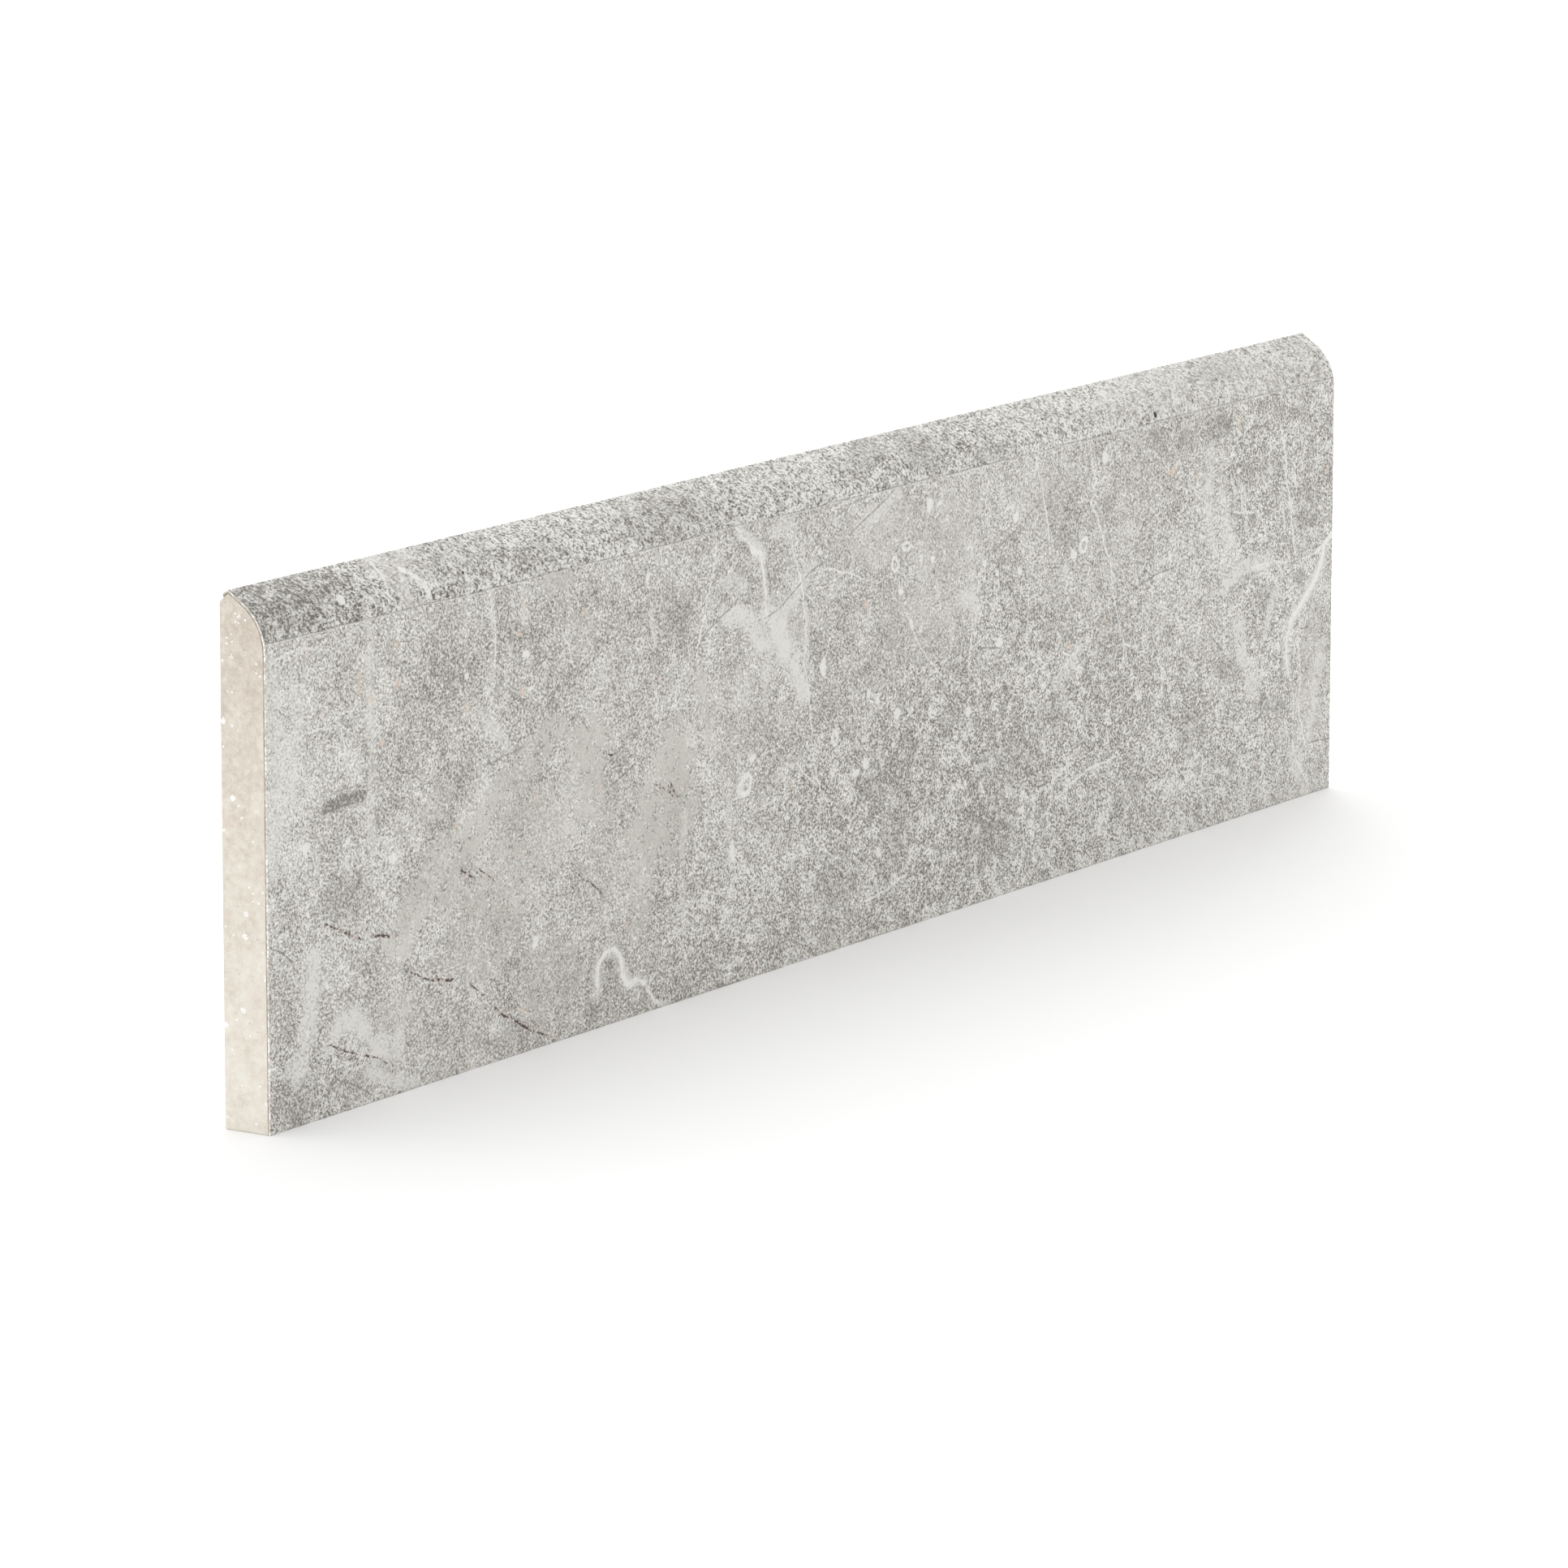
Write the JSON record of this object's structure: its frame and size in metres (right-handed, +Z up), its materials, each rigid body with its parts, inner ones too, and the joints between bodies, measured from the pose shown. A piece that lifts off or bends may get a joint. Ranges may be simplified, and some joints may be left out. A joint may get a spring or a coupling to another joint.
{
  "type": "bullnose skirting tile",
  "caption": "Long glazed stoneware skirting tile with a cement-look face, a rounded nose along its top edge and a ribbed back for adhesive.",
  "frame": {"origin": "middle of the tile's box on the floor plane, under the long bottom edge", "axes": "+X along the wall, +Y into the wall (the glazed face looks to -Y), +Z up to the rounded nose"},
  "size_m": [0.333, 0.0088, 0.085],
  "materials": {
    "biscuit": "unglazed cream stoneware",
    "engobe": "dull opaque slip",
    "face_glaze": "matt glaze with a grey cement print",
    "nose_glaze": "matt glaze with a coarser grey print"
  },
  "bodies": {
    "root": {"biscuit_body": "biscuit", "face_engobe": "engobe", "nose_engobe": "engobe", "face_glaze": "face_glaze", "nose_glaze": "nose_glaze"}
  },
  "joints": []
}
